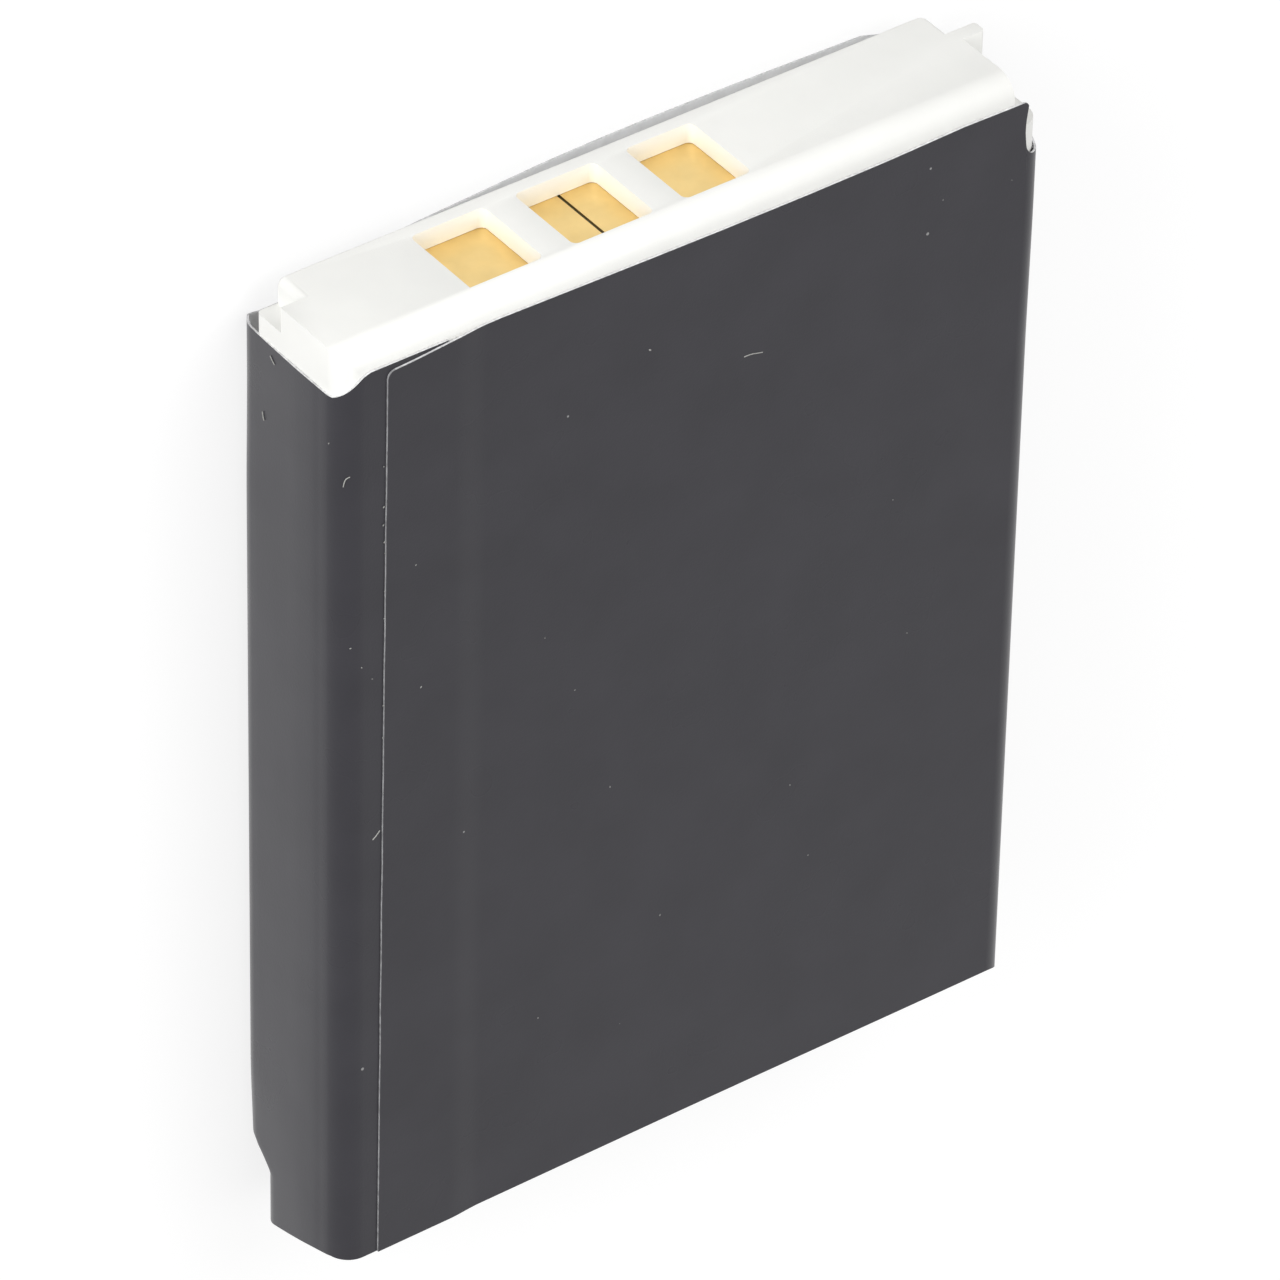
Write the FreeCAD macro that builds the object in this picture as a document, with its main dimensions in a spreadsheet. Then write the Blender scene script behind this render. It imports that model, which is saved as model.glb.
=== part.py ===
"""Slim rechargeable mobile phone battery, lying on its back with the contacts at the +Y end.

Millimetres. X runs across the pack, Y along it from the slanted foot to the contacts,
and Z through its thickness, from the back face up to the front face.
"""
import FreeCAD, Part
import Sketcher
import math
import os

Vector = FreeCAD.Vector

# Driving dimensions, one cell each.
SIZES = (
    # Overall envelope, measured over the label film.
    ("pack_width", 41.0),
    ("pack_depth", 8.7),
    ("pack_length", 57.0),
    ("corner_round", 1.3),
    # Label film: one sheet wrapped round the pack and lapped on the front.
    ("film_thick", 0.13),
    ("film_fit", 0.02),
    ("side_drop", 1.2),
    ("back_rise", 0.4),
    ("seam_inset", 2.4),
    ("lap_width", 4.6),
    ("lap_taper", 0.6),
    ("lap_drop", 0.25),
    ("lap_round", 0.5),
    ("relief_start", 0.45),
    ("relief_reach", 1.4),
    ("back_slant_start", 2.4),
    ("back_slant_reach", 11.0),
    ("notch_inset", 1.25),
    ("notch_width", 1.0),
    ("notch_depth", 3.2),
    ("notch_slope", 3.8),
    ("foot_drop", 1.9),
    ("foot_flat", 1.0),
    ("drape_start", 3.1),
    ("drape_length", 1.8),
    # Moulded top cap.
    ("cap_rise", 1.4),
    ("back_step", 1.5),
    ("cap_wall", 0.6),
    ("cap_front_round", 1.3),
    ("cap_back_round", 0.15),
    ("cap_back_corner", 0.3),
    ("left_notch_round", 0.45),
    ("left_notch_width", 1.3),
    ("left_notch_front", 5.05),
    ("left_notch_depth", 1.45),
    ("right_end_inset", 1.9),
    ("right_notch_inset", 2.25),
    ("right_notch_round", 0.4),
    ("right_ledge_depth", 2.9),
    ("rib_front", 4.35),
    ("rib_thick", 0.8),
    ("rib_reach", 1.35),
    ("rib_round", 0.2),
    # Windows in the cap over the contacts.
    ("window_front", 1.35),
    ("window_back_wall", 0.85),
    ("window_depth", 1.1),
    ("window_narrow", 4.2),
    ("window_wide", 4.65),
    ("window_short", 3.9),
    ("window_round", 0.35),
    ("contact_first", 10.3),
    ("window_bar", 1.71),
    ("window_bar_wide", 1.73),
    # Contacts and their circuit board.
    ("contact_margin", 0.15),
    ("contact_thick", 0.1),
    ("contact_slit", 0.16),
    ("slit_offset", 0.28),
    ("contact_fit", 0.02),
    ("board_inset", 2.6),
    ("board_fit", 0.05),
    ("board_thick", 0.6),
    ("chip_height", 1.0),
    ("chip_length", 4.4),
    ("chip_width", 3.0),
    ("guard_length", 2.9),
    ("guard_width", 1.6),
    ("chip_gap", 1.7),
    ("part_gap", 0.2),
    ("small_length", 1.6),
    ("small_width", 0.8),
    ("small_height", 0.5),
    # Sealed cell and what is on its lid.
    ("cell_end_round", 0.4),
    ("sheet_thick", 0.1),
    ("sheet_inset", 1.2),
    ("sheet_overhang", 0.3),
    ("rivet_radius", 1.2),
    ("rivet_height", 0.55),
    ("stem_radius", 0.6),
    ("gasket_radius", 1.9),
    ("gasket_height", 0.3),
    ("plug_radius", 0.7),
    ("plug_height", 0.3),
    ("plug_gap", 5.5),
    ("hole_gap", 0.3),
    ("tab_thick", 0.12),
    ("tab_width", 2.6),
    ("fuse_length", 4.6),
    ("fuse_offset", 3.6),
    ("positive_inset", 6.5),
    ("tab_foot", 2.6),
    # Bottom cap and the tape that holds it.
    ("tape_thick", 0.15),
    ("tape_inset", 0.8),
    ("foot_inset", 0.2),
)

doc = FreeCAD.newDocument("phone_battery")
sheet = doc.addObject("Spreadsheet::Sheet", "sizes")
for row, (alias, value) in enumerate(SIZES, start=1):
    sheet.set(f"A{row}", alias)
    sheet.set(f"B{row}", str(value))
    sheet.setAlias(f"B{row}", alias)
doc.recompute()

# Places worked out from the driving dimensions, as expressions on the sheet's cells.
HALF = "sizes.pack_width / 2"
TOP = "sizes.pack_length / 2"
LABEL_LOW = f"(sizes.foot_drop - {TOP})"
SKIN = "(sizes.film_thick + sizes.film_fit)"
IN_HALF = f"({HALF} - {SKIN})"
FRONT = "sizes.pack_depth"
IN_FRONT = f"({FRONT} - {SKIN})"
CAP_BACK = f"({SKIN} + sizes.back_step)"
IN_ROUND = f"(sizes.corner_round - {SKIN})"
CELL_LOW = f"({LABEL_LOW} + sizes.drape_start - sizes.film_fit)"
CONTACT_TOP = f"({TOP} - sizes.window_depth - sizes.contact_fit)"
BOARD_TOP = f"({CONTACT_TOP} - sizes.contact_thick)"
BOARD_LOW = f"({BOARD_TOP} - sizes.board_thick)"
CAVITY_FRONT = f"({IN_FRONT} - sizes.cap_wall)"
CAVITY_BACK = f"({CAP_BACK} + sizes.cap_wall)"
BOARD_HALF = f"({HALF} - sizes.board_inset)"
LID_ROOM = "(3 * sizes.chip_height)"
CELL_TOP = f"({BOARD_LOW} - {LID_ROOM} + sizes.sheet_thick)"
SHEET_TOP = f"({CELL_TOP} + sizes.sheet_thick)"
BOARD_FRONT = f"({CAVITY_FRONT} - sizes.board_fit)"
BOARD_BACK = f"({CAVITY_BACK} + sizes.board_fit)"
BOARD_MIDDLE = f"(({BOARD_FRONT} + {BOARD_BACK}) / 2)"
POSITIVE_X = f"({HALF} - sizes.positive_inset)"
FIRST = "sizes.contact_first"
SECOND = f"({FIRST} + sizes.window_narrow / 2 + sizes.window_bar + sizes.window_wide / 2)"
THIRD = f"({SECOND} + sizes.window_wide / 2 + sizes.window_bar_wide + sizes.window_short / 2)"
PLUG_X = f"({POSITIVE_X} - sizes.plug_gap)"


def value(alias):
    """Read one driving dimension for the shapes that are worked out in code."""
    return float(sheet.get(alias))


def origin_plane(body, role):
    """Return one of the body's own origin planes."""
    return [feature for feature in body.Origin.OriginFeatures if feature.Role == role][0]


def new_body(name):
    """Start a body whose label names the sub-part."""
    body = doc.addObject("PartDesign::Body", name)
    body.Label = name
    return body


def outline(body, name, role, offset, corners):
    """Draw a closed outline whose every corner is pinned to expressions."""
    sketch = body.newObject("Sketcher::SketchObject", name)
    sketch.AttachmentSupport = (origin_plane(body, role), [""])
    sketch.MapMode = "FlatFace"
    sketch.setExpression(".AttachmentOffset.Base.z", offset)
    count = len(corners)
    angles = [2 * math.pi * index / count for index in range(count)]
    reach = value("pack_depth")
    start = [Vector(reach * math.cos(angle), reach * math.sin(angle), 0) for angle in angles]
    for index in range(count):
        sketch.addGeometry(Part.LineSegment(start[index], start[(index + 1) % count]))
    for index in range(count):
        sketch.addConstraint(Sketcher.Constraint("Coincident", index, 2, (index + 1) % count, 1))
    for index, pair in enumerate(corners):
        for kind, expression in zip(("DistanceX", "DistanceY"), pair):
            number = sketch.addConstraint(Sketcher.Constraint(kind, -1, 1, index, 1, 1.0))
            sketch.setExpression(f"Constraints[{number}]", expression)
    return sketch


def rectangle(low_a, high_a, low_b, high_b):
    """Corners of an upright rectangle for outline()."""
    return ((low_a, low_b), (high_a, low_b), (high_a, high_b), (low_a, high_b))


def section(body, name, at, corners):
    """Outline across the pack, in X and Z, at the height AT along Y."""
    return outline(body, name, "XZ_Plane", f"-({at})", corners)


def side_view(body, name, at, corners):
    """Outline seen from the side, in Y and Z, at AT across X."""
    return outline(body, name, "YZ_Plane", at, corners)


def pad(body, name, sketch, length):
    """Pad an outline by LENGTH; one across the pack grows towards the foot."""
    feature = body.newObject("PartDesign::Pad", name)
    feature.Profile = sketch
    feature.setExpression("Length", length)
    doc.recompute()
    return feature


def pocket(body, name, sketch, length, along_normal=True):
    """Cut an outline into the body and make sure that it removed something."""
    before = body.Shape.Volume
    feature = body.newObject("PartDesign::Pocket", name)
    feature.Profile = sketch
    feature.setExpression("Length", length)
    feature.Reversed = along_normal
    doc.recompute()
    if not feature.Shape.Volume < before:
        raise ValueError(f"{name} cuts nothing")
    return feature


def round_edges(body, name, radius, wanted):
    """Fillet those edges of the body's tip for which WANTED holds."""
    base = body.Tip
    names = [f"Edge{number}" for number, edge in enumerate(base.Shape.Edges, start=1) if wanted(edge)]
    feature = body.newObject("PartDesign::Fillet", name)
    feature.Base = (base, names)
    feature.setExpression("Radius", radius)
    doc.recompute()
    return feature


def runs_along(edge, axis):
    """True where a straight edge is parallel to X (0), Y (1) or Z (2)."""
    if edge.Curve.TypeId != "Part::GeomLine":
        return False
    ends = edge.Vertexes[-1].Point - edge.Vertexes[0].Point
    return abs(ends[axis]) > 0.999 * edge.Length


def block(name, x, y, z):
    """A small plain part; each of x, y and z is a start and a size."""
    box = doc.addObject("Part::Box", name)
    box.Label = name
    for sized, placed, (start, size) in zip(("Length", "Width", "Height"), "xyz", (x, y, z)):
        box.setExpression(sized, size)
        box.setExpression(f".Placement.Base.{placed}", start)
    return box


# Label film, wrapped once round the pack and lapped over its own edge on the front.
def film_section(inset, low, high, y):
    """Rounded rectangle across the pack, shrunk by INSET, from low to high in Z."""
    half = value("pack_width") / 2 - inset
    radius = value("corner_round") - inset
    low, high = low + inset, high - inset
    slant = radius * math.sqrt(0.5)
    edges = []
    for side_x, side_z in ((1, 1), (-1, 1), (-1, -1), (1, -1)):
        centre_x = side_x * (half - radius)
        centre_z = high - radius if side_z > 0 else low + radius
        flat = Vector(side_x * half, y, centre_z)
        middle = Vector(centre_x + side_x * slant, y, centre_z + side_z * slant)
        level = Vector(centre_x, y, centre_z + side_z * radius)
        ends = (flat, level) if side_x == side_z else (level, flat)
        edges.append(Part.Arc(ends[0], middle, ends[1]).toShape())
    joined = []
    for index, arc in enumerate(edges):
        following = edges[(index + 1) % 4]
        joined.append(arc)
        joined.append(Part.LineSegment(arc.Vertexes[-1].Point, following.Vertexes[0].Point).toShape())
    return Part.Wire(joined)


def prism(points, direction):
    """Straight solid on a closed outline of points."""
    return Part.Face(Part.makePolygon(list(points) + [points[0]])).extrude(direction)


def film_tube(inset, beyond):
    """Envelope of the wrapped film, shrunk by INSET and longer by BEYOND at both ends."""
    front = value("pack_depth")
    low = -value("pack_length") / 2
    label_low = low + value("foot_drop")
    label_high = value("pack_length") / 2 - value("cap_rise") + value("back_rise")
    stepped = value("back_step") + value("film_fit")
    drape = label_low + value("drape_start")
    stations = (
        (stepped, low - beyond),
        (stepped, drape - value("drape_length")),
        (0.0, drape),
        (0.0, label_high + beyond),
    )
    return Part.makeLoft([film_section(inset, back, front, y) for back, y in stations], True, True)


def label_shape():
    """The folded film with its trimmed ends, corner notch and lapped edge."""
    half = value("pack_width") / 2
    front = value("pack_depth")
    film = value("film_thick")
    low = -value("pack_length") / 2
    top = value("pack_length") / 2 - value("cap_rise")
    label_low = low + value("foot_drop")
    beyond = 2 * value("corner_round")
    film_wrap = film_tube(0.0, 0.0).cut(film_tube(film, beyond))

    # The front panel ends a little lower than the back panel.
    through = Vector(0, 0, 2 * front)
    front_trim = prism(
        (
            Vector(-half, top, front / 2),
            Vector(half, top, front / 2),
            Vector(half, top + beyond, front / 2),
            Vector(-half, top + beyond, front / 2),
        ),
        through,
    )
    # Both side panels end lower still: a short slant leads up to the front panel's edge
    # and a long one to the back panel's.
    side_top = top - value("side_drop")
    slants = (
        (value("relief_start"), value("relief_reach"), top, front / 2),
        (value("back_slant_start"), value("back_slant_reach"), top + value("back_rise"), -1.5 * front),
    )
    trims = [front_trim]
    for side in (-1, 1):
        for start, reach, peak, level in slants:
            trims.append(
                prism(
                    (
                        Vector(side * (half + beyond), side_top, level),
                        Vector(side * (half - start), side_top, level),
                        Vector(side * (half - reach), peak, level),
                        Vector(side * (half - reach), top + beyond, level),
                        Vector(side * (half + beyond), top + beyond, level),
                    ),
                    through,
                )
            )
    # A round-bottomed notch frees the front panel at the right-hand fold.
    notch_left = half - value("notch_inset")
    notch_right = notch_left + value("notch_width")
    notch_round = value("notch_width") / 2
    notch_low = top - value("notch_depth")
    notch = prism(
        (
            Vector(notch_left, notch_low + notch_round, front / 2),
            Vector(notch_right, notch_low + notch_round, front / 2),
            Vector(notch_right, top + beyond, front / 2),
            Vector(notch_left, top + beyond, front / 2),
        ),
        through,
    )
    bottom = Part.makeCylinder(
        notch_round,
        2 * front,
        Vector(notch_left + notch_round, notch_low + notch_round, front / 2),
    )
    trims += [notch, bottom]
    # From the notch the right side panel's edge climbs back to its full height.
    climb = prism(
        (
            Vector(notch_right, notch_low + notch_round, front + film),
            Vector(notch_right, side_top, front - value("notch_slope")),
            Vector(notch_right, top + beyond, front - value("notch_slope")),
            Vector(notch_right, top + beyond, front + film),
        ),
        Vector(half, 0, 0),
    )
    trims.append(climb)
    # The lower edge follows the slanted foot.
    foot_front = front - value("foot_flat")
    foot_back = value("back_step") + film + 2 * value("film_fit")
    trims.append(
        prism(
            (
                Vector(-2 * half, label_low, 2 * front),
                Vector(-2 * half, label_low, foot_front),
                Vector(-2 * half, low, foot_back),
                Vector(-2 * half, low - beyond, foot_back),
                Vector(-2 * half, low - beyond, 2 * front),
            ),
            Vector(4 * half, 0, 0),
        )
    )
    film_wrap = film_wrap.cut(trims)

    # The lap: the film's free edge lies over its start and steps down beyond it.
    seam = -half + value("seam_inset")
    lap_end = seam + value("lap_width")
    lap = prism(
        (
            Vector(seam, label_low, front),
            Vector(seam, label_low, front + film),
            Vector(lap_end - value("lap_taper"), label_low, front + film),
            Vector(lap_end, label_low, front),
        ),
        Vector(0, top - value("lap_drop") - label_low, 0),
    )
    lap_top = top - value("lap_drop")
    corner = [
        edge
        for edge in lap.Edges
        if runs_along(edge, 2) and abs(edge.CenterOfMass.y - lap_top) < film
    ]
    lap = lap.makeFillet(value("lap_round"), corner)
    return film_wrap.fuse(lap).removeSplitter()


def build_label():
    label = doc.addObject("Part::Feature", "label_wrap")
    label.Label = "label_wrap"
    label.Shape = label_shape()
    return label


# Moulded top cap: plateau, end notches, key rib, contact windows and a hollow for the board.
def front_line(distance):
    """Z of a place that lies DISTANCE behind the pack's front face."""
    return f"({FRONT} - {distance})"


def from_left(distance):
    """X of a place that lies DISTANCE from the pack's left side."""
    return f"({distance} - {HALF})"


def from_right(distance):
    """X of a place that lies DISTANCE from the pack's right side."""
    return f"({HALF} - {distance})"


WINDOWS = (
    ("first", FIRST, "sizes.window_narrow"),
    ("second", SECOND, "sizes.window_wide"),
    ("third", THIRD, "sizes.window_short"),
)
OUTSIDE = "sizes.pack_depth"


def build_top_cap():
    end_section = rectangle(f"-{IN_HALF}", IN_HALF, CAP_BACK, IN_FRONT)
    height = f"{TOP} - {SHEET_TOP} - sizes.film_fit"
    high = value("pack_length") / 2
    near = value("film_fit") / 2
    front_face = value("pack_depth") - value("film_thick") - value("film_fit")

    def on_plateau(edge):
        return all(abs(vertex.Point.y - high) < near for vertex in edge.Vertexes)

    def is_front_edge(edge):
        return on_plateau(edge) and abs(edge.CenterOfMass.z - front_face) < near and runs_along(edge, 0)

    def is_corner(edge, at_front):
        return runs_along(edge, 1) and (edge.CenterOfMass.z > front_face / 2) == at_front

    # The long front edge and the corners beside it are broadly rounded, the back corners little.
    envelope = new_body("cap_envelope")
    pad(envelope, "envelope_block", section(envelope, "envelope_outline", TOP, end_section), height)
    round_edges(envelope, "front_rounding", "sizes.cap_front_round", is_front_edge)
    body = new_body("top_cap")
    pad(body, "cap_block", section(body, "cap_outline", TOP, end_section), height)
    round_edges(body, "front_corners", IN_ROUND, lambda edge: is_corner(edge, True))
    round_edges(body, "back_corners", "sizes.cap_back_corner", lambda edge: is_corner(edge, False))

    # Hollow under the plateau for the board, open towards the cell.
    cavity_half = f"({BOARD_HALF} + sizes.board_fit)"
    corners = rectangle(f"-{cavity_half}", cavity_half, CAVITY_BACK, CAVITY_FRONT)
    sketch = section(body, "hollow_outline", SHEET_TOP, corners)
    depth = f"{TOP} - sizes.window_depth - {SHEET_TOP}"
    pocket(body, "hollow", sketch, depth, along_normal=False)

    # Windows through the plateau.
    window_front = front_line("sizes.window_front")
    window_back = f"({CAP_BACK} + sizes.window_back_wall)"
    for name, centre, width in WINDOWS:
        left = from_left(f"({centre} - {width} / 2)")
        right = from_left(f"({centre} + {width} / 2)")
        corners = rectangle(left, right, window_back, window_front)
        sketch = section(body, f"{name}_window_outline", TOP, corners)
        pocket(body, f"{name}_window", sketch, "sizes.window_depth + sizes.contact_fit")
    first_left = value("contact_first") - value("window_narrow") / 2 - value("pack_width") / 2
    window_edge = value("pack_depth") - value("window_front")

    def is_window_corner(edge):
        if not runs_along(edge, 1) or edge.Length > value("window_depth") + near:
            return False
        centre = edge.CenterOfMass
        sharp = abs(centre.x - first_left) < near and abs(centre.z - window_edge) < near
        inside = abs(centre.x) < value("pack_width") / 2 - value("board_inset")
        return inside and not sharp

    round_edges(body, "window_corners", "sizes.window_round", is_window_corner)

    shared = body.newObject("PartDesign::Boolean", "cap_form")
    shared.setObjects([envelope])
    shared.Type = "Common"
    doc.recompute()

    # Left end: a notch in its back corner.
    beyond_left = from_left(f"-{OUTSIDE}")
    beyond_right = from_right(f"-{OUTSIDE}")
    beyond_back = f"({CAP_BACK} - {OUTSIDE})"
    beyond_front = f"({IN_FRONT} + {OUTSIDE})"
    notch_wall = from_left("sizes.left_notch_width")
    corners = rectangle(beyond_left, notch_wall, beyond_back, front_line("sizes.left_notch_front"))
    sketch = section(body, "left_notch_outline", TOP, corners)
    pocket(body, "left_notch", sketch, "sizes.left_notch_depth")

    # Right end: cut back to a ledge, apart from a key rib.
    right_end = from_right("sizes.right_end_inset")
    notch_left = from_right("sizes.right_notch_inset")
    rib_front = front_line("sizes.rib_front")
    rib_back = front_line("(sizes.rib_front + sizes.rib_thick)")
    rib_end = from_right("(sizes.right_end_inset - sizes.rib_reach)")
    cuts = (
        ("right_front", rectangle(right_end, beyond_right, rib_front, beyond_front)),
        ("rib_end", rectangle(rib_end, beyond_right, rib_back, rib_front)),
        ("right_back", rectangle(notch_left, beyond_right, beyond_back, rib_back)),
    )
    for name, corners in cuts:
        pocket(body, name, section(body, f"{name}_outline", TOP, corners), "sizes.right_ledge_depth")

    # The upright corner of the right-hand notch and the end of the rib are rounded.
    half = value("pack_width") / 2
    back_face = value("film_thick") + value("film_fit") + value("back_step")
    notch_x = value("left_notch_width") - half
    corner_x = half - value("right_notch_inset")
    rib_x = half - value("right_end_inset") + value("rib_reach")

    def is_notch_corner(edge):
        centre = edge.CenterOfMass
        return runs_along(edge, 1) and abs(centre.x - corner_x) < near and abs(centre.z - back_face) < near

    def is_rib_corner(edge):
        return runs_along(edge, 1) and abs(edge.CenterOfMass.x - rib_x) < near

    round_edges(body, "notch_corner", "sizes.right_notch_round", is_notch_corner)
    round_edges(body, "rib_corners", "sizes.rib_round", is_rib_corner)

    # The plateau's back edge and the edge of its left-hand notch are eased.

    def is_back_edge(edge):
        return on_plateau(edge) and abs(edge.CenterOfMass.z - back_face) < near and runs_along(edge, 0)

    def is_notch_edge(edge):
        return on_plateau(edge) and abs(edge.CenterOfMass.x - notch_x) < near and runs_along(edge, 2)

    round_edges(body, "notch_easing", "sizes.left_notch_round", is_notch_edge)
    round_edges(body, "back_easing", "sizes.cap_back_round", is_back_edge)
    return body


# Contact pads, soldered on the board under the windows.
def contact(name, left, right):
    low = f"({CAP_BACK} + sizes.window_back_wall - sizes.contact_margin)"
    high = front_line("(sizes.window_front - sizes.contact_margin)")
    return block(
        name,
        (from_left(left), f"{right} - {left}"),
        (BOARD_TOP, "sizes.contact_thick"),
        (low, f"{high} - {low}"),
    )


def build_contacts():
    narrow = "(sizes.window_narrow / 2 + sizes.contact_margin)"
    wide = "(sizes.window_wide / 2 + sizes.contact_margin)"
    short = "(sizes.window_short / 2 + sizes.contact_margin)"
    slit_left = f"({SECOND} + sizes.slit_offset - sizes.contact_slit / 2)"
    slit_right = f"({SECOND} + sizes.slit_offset + sizes.contact_slit / 2)"
    return [
        contact("contact_negative", f"({FIRST} - {narrow})", f"({FIRST} + {narrow})"),
        contact("contact_identity", f"({SECOND} - {wide})", slit_left),
        contact("contact_temperature", slit_right, f"({SECOND} + {wide})"),
        contact("contact_positive", f"({THIRD} - {short})", f"({THIRD} + {short})"),
    ]


# Protection board with its parts soldered on the side that faces the cell.
def build_board():
    return block(
        "protection_board",
        (f"-{BOARD_HALF}", f"2 * {BOARD_HALF}"),
        (BOARD_LOW, "sizes.board_thick"),
        (BOARD_BACK, f"{BOARD_FRONT} - {BOARD_BACK}"),
    )


def soldered(name, centre_x, centre_z, length, width, height):
    """A part that hangs under the board, centred on a place of it."""
    return block(
        name,
        (f"{centre_x} - {length} / 2", length),
        (f"{BOARD_LOW} - {height}", height),
        (f"{centre_z} - {width} / 2", width),
    )


def build_board_parts():
    chip = ("sizes.chip_length", "sizes.chip_width", "sizes.chip_height")
    guard = ("sizes.guard_length", "sizes.guard_width", "sizes.chip_height")
    small = ("sizes.small_length", "sizes.small_width", "sizes.small_height")
    upper = f"({BOARD_MIDDLE} + sizes.chip_width / 2)"
    lower = f"({BOARD_MIDDLE} - sizes.chip_width / 2)"
    step = "sizes.small_length"
    chip_x = f"({POSITIVE_X} - sizes.tab_foot / 2 - sizes.chip_length / 2 - sizes.chip_gap)"
    guard_x = "(sizes.guard_length / 2)"
    left_x = f"-(3 * {step})"
    right_x = f"({POSITIVE_X} + sizes.tab_foot / 2 - sizes.tab_thick - sizes.part_gap - {step} / 2)"
    return [
        soldered("switch_transistor", chip_x, BOARD_MIDDLE, *chip),
        soldered("protection_chip", guard_x, BOARD_MIDDLE, *guard),
        soldered("filter_capacitor", left_x, upper, *small),
        soldered("supply_resistor", left_x, lower, *small),
        soldered("bypass_capacitor", f"({left_x} - 4 * {step})", upper, *small),
        soldered("identity_resistor", f"({left_x} - 4 * {step})", lower, *small),
        soldered("thermistor", right_x, BOARD_MIDDLE, *small),
    ]


# Sealed cell, terminal and lid parts.
def build_cell():
    body = new_body("sealed_cell")
    corners = rectangle(f"-{IN_HALF}", IN_HALF, SKIN, IN_FRONT)
    sketch = section(body, "can_outline", CELL_TOP, corners)
    pad(body, "can", sketch, f"{CELL_TOP} - {CELL_LOW}")
    round_edges(body, "can_corners", IN_ROUND, lambda edge: runs_along(edge, 1))

    def is_end(edge):
        heights = [vertex.Point.y for vertex in edge.Vertexes]
        return max(heights) - min(heights) < value("film_fit")

    round_edges(body, "can_ends", "sizes.cell_end_round", is_end)
    return body


def turned(name, at_x, base, corners):
    """Revolve an outline of radius and height about a line along Y."""
    body = new_body(name)
    sketch = outline(body, f"{name}_outline", "XY_Plane", BOARD_MIDDLE, corners)
    feature = body.newObject("PartDesign::Revolution", f"{name}_turning")
    feature.Profile = sketch
    feature.ReferenceAxis = (sketch, ["V_Axis"])
    feature.Angle = 360
    body.setExpression(".Placement.Base.x", at_x)
    body.setExpression(".Placement.Base.y", base)
    doc.recompute()
    return body


def build_terminal():
    stem, head = "sizes.stem_radius", "sizes.rivet_radius"
    flange, height = "sizes.gasket_height", "sizes.rivet_height"
    rivet = turned(
        "terminal_rivet",
        "0",
        CELL_TOP,
        (("0", "0"), (stem, "0"), (stem, flange), (head, flange), (head, height), ("0", height)),
    )
    gasket = turned(
        "terminal_gasket",
        "0",
        CELL_TOP,
        rectangle(stem, "sizes.gasket_radius", "0", flange),
    )
    plug = turned(
        "filler_plug",
        PLUG_X,
        CELL_TOP,
        rectangle("0", "sizes.plug_radius", "0", "sizes.plug_height"),
    )
    return [rivet, gasket, plug]


def build_lid_sheet():
    """Insulating sheet on the cell's lid, open round the terminal, the plug and the welds."""
    body = new_body("lid_insulator")
    half = f"({IN_HALF} - sizes.sheet_inset)"
    low = f"({CAP_BACK} - sizes.sheet_overhang)"
    high = f"({IN_FRONT} - sizes.sheet_overhang)"
    sketch = section(body, "sheet_outline", SHEET_TOP, rectangle(f"-{half}", half, low, high))
    pad(body, "sheet", sketch, "sizes.sheet_thick")
    holes = (
        ("terminal_hole", "0", "sizes.gasket_radius + sizes.hole_gap"),
        ("plug_hole", PLUG_X, "sizes.plug_radius + sizes.hole_gap"),
        ("weld_hole", POSITIVE_X, "sizes.tab_foot / 2 + sizes.hole_gap"),
    )
    for name, centre, reach in holes:
        corners = rectangle(
            f"{centre} - ({reach})",
            f"{centre} + ({reach})",
            f"{BOARD_MIDDLE} - ({reach})",
            f"{BOARD_MIDDLE} + ({reach})",
        )
        sketch = section(body, f"{name}_outline", SHEET_TOP, corners)
        pocket(body, name, sketch, "2 * sizes.sheet_thick")
    return body


# Nickel strips and the thermal fuse between the terminal and the board.
def strip(name, corners):
    """Bent strip: an outline in X and Y, as wide as the tabs in Z."""
    body = new_body(name)
    sketch = outline(body, f"{name}_outline", "XY_Plane", f"{BOARD_MIDDLE} - sizes.tab_width / 2", corners)
    pad(body, f"{name}_band", sketch, "sizes.tab_width")
    return body


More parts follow.
